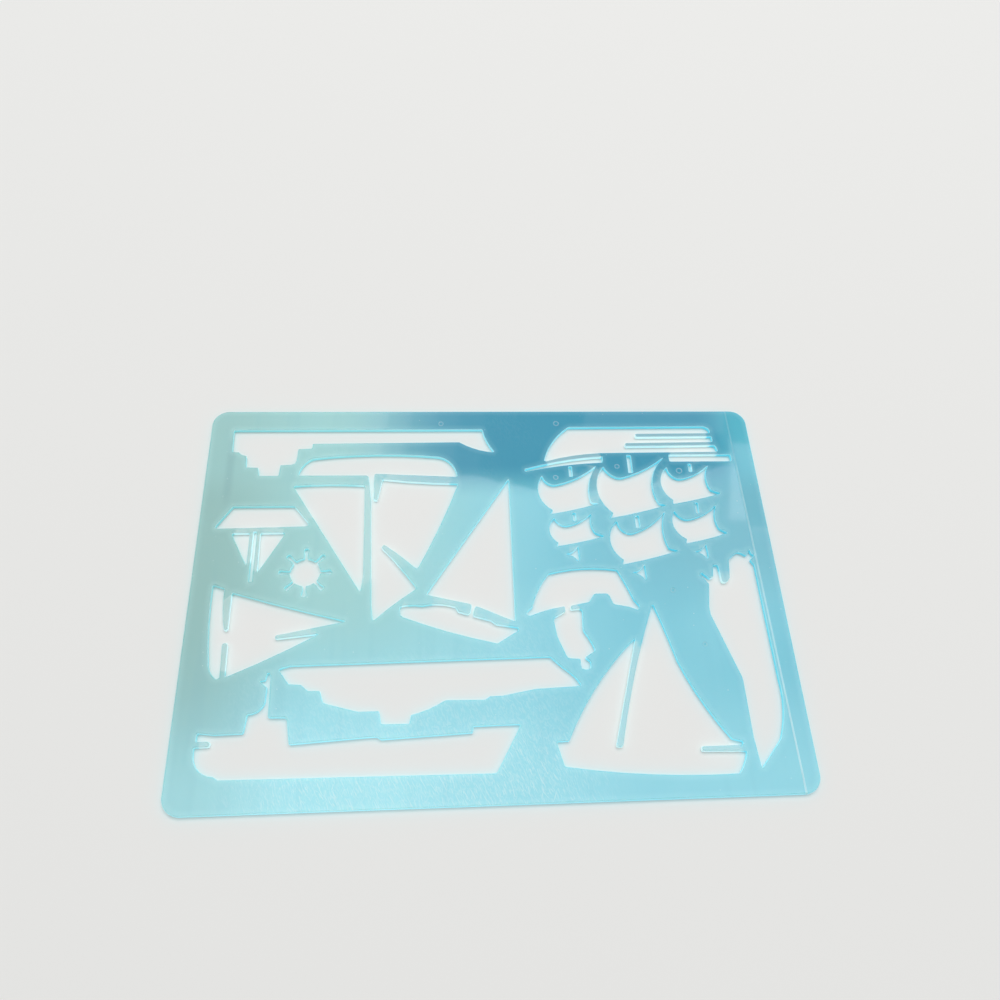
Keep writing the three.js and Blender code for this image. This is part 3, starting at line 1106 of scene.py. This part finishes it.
@dataclass(frozen=True)
class Studio:
    """Plain soft light around the sheet: a white backdrop, and panels that its gloss mirrors.

    Attributes:
        ambient: Strength of the backdrop's light on matt surfaces.
        height: Height of the ceiling, in metres.
        middle: Place on the ceiling that the panels are measured from, in metres.
        turn: Turn of the ceiling's rails about the vertical, in degrees.
        panels: The panels. They leave a gap that shows as a deeper blue on the far side of the sheet.
        fade: First of a row of panels that dims from the left panel into the gap.
        fade_step: Spacing of that row, in metres.
        fade_levels: Brightness of each panel in that row.
    """

    ambient: float = 0.58
    height: float = 2.0
    middle: tuple[float, float] = (0.175, 0.6)
    turn: float = -7.5
    panels: tuple[LightPanel, ...] = (
        LightPanel("main_panel", 0.0, -0.0185, 2.1, 1.053),
        LightPanel("left_panel", -0.826, 0.6865, 0.75, 0.357),
        LightPanel("shoulder_panel", -0.2915, 0.525, 0.319, 0.034),
        LightPanel("slope_panel", -0.0445, 0.505, 0.19, 0.04, turn=-10.3),
        LightPanel("wing_panel", 0.445, 0.454, 0.56, 0.3, turn=17.4),
        LightPanel("right_panel", 0.825, 0.654, 0.33, 0.292, brightness=1.7, rise=0.01),
        LightPanel("far_panel", 0.416, 0.862, 0.45, 0.14, brightness=0.6),
    )
    fade: LightPanel = LightPanel("fade_panel", -0.4125, 0.7035, 0.075, 0.323)
    fade_step: float = 0.077
    fade_levels: tuple[float, ...] = (1.35, 0.8, 0.55, 0.25)

    def build(self) -> None:
        """Light the scene, with a backdrop that the camera and reflections see as white."""
        world = bpy.data.worlds.new("studio")
        world.use_nodes = True
        tree = world.node_tree
        tree.nodes.clear()
        strength = weigh(tree, self.ambient, (seen_directly(tree), 1.0 - self.ambient))
        sky = add_node(tree, "ShaderNodeBackground", {"Color": linear(WHITE), "Strength": strength})
        add_node(tree, "ShaderNodeOutputWorld", {"Surface": sky.outputs["Background"]})
        bpy.context.scene.world = world
        for panel in (*self.panels, *self.fading()):
            self.hang(panel)
        bpy.context.scene.view_settings.view_transform = "Standard"

    def fading(self) -> list[LightPanel]:
        """Lay out the row of panels that dims from the left panel into the gap.

        Returns:
            The panels.
        """
        return [
            replace(
                self.fade, name=f"{self.fade.name}_{number}", brightness=level,
                across=self.fade.across + number * self.fade_step,
            )
            for number, level in enumerate(self.fade_levels)
        ]

    def hang(self, panel: LightPanel) -> None:
        """Hang a panel on the ceiling, facing down.

        Args:
            panel: The panel.
        """
        lamp = bpy.data.lights.new(panel.name, "AREA")
        lamp.shape = "RECTANGLE"
        lamp.size = panel.width
        lamp.size_y = panel.depth
        lamp.energy = math.pi * panel.width * panel.depth * panel.brightness
        hung = bpy.data.objects.new(panel.name, lamp)
        rails = Matrix.Translation((*self.middle, self.height)) @ turned(self.turn)
        place = Matrix.Translation((panel.across, panel.out, panel.rise))
        hung.matrix_world = rails @ place @ turned(panel.turn)
        bpy.context.scene.collection.objects.link(hung)


@dataclass(frozen=True)
class PhotoCamera:
    """Camera at the photograph's viewing angle.

    Attributes:
        name: Name of the camera.
        place: Lens centre, in mm from the middle of the sheet's underside.
        aim: Point on the table that the view axis meets, in mm.
        roll: Turn about the view axis, in degrees.
        focal_pixels: Focal length, in pixels of the photograph.
        frame_pixels: Width of the photograph, in pixels.
        sensor: Sensor width, in mm.
        nearest: Distance from which things are seen, in mm.
    """

    name: str = "photo_camera"
    place: tuple[float, float, float] = (-19.35, -109.92, 277.81)
    aim: tuple[float, float, float] = (4.39, 35.23, 0.0)
    roll: float = 7.70
    focal_pixels: float = 833.2
    frame_pixels: float = 1000.0
    sensor: float = 36.0
    nearest: float = 10.0

    def build(self) -> bpy.types.Object:
        """Set up the camera and make it the scene's.

        Returns:
            The camera.
        """
        lens = bpy.data.cameras.new(self.name)
        lens.sensor_width = self.sensor
        lens.lens = self.sensor * self.focal_pixels / self.frame_pixels
        lens.clip_start = self.nearest * MM
        camera = bpy.data.objects.new(self.name, lens)
        camera.location = Vector(self.place) * MM
        facing = (Vector(self.aim) - Vector(self.place)).to_track_quat("-Z", "Y")
        camera.rotation_euler = (facing @ Quaternion((0.0, 0.0, 1.0), math.radians(self.roll))).to_euler()
        bpy.context.scene.collection.objects.link(camera)
        bpy.context.scene.camera = camera
        return camera


def main() -> None:
    """Build the scene and log the sheet's face count."""
    logging.basicConfig(level=logging.INFO, format="%(name)s: %(message)s")
    PhotoCamera().build()
    piece = StencilSheet().build(MouldedPolystyrene())
    LOG.info("%s: %d faces", piece.name, len(piece.data.polygons))
    PaleFloor().build()
    Studio().build()


if __name__ == "__main__":
    main()
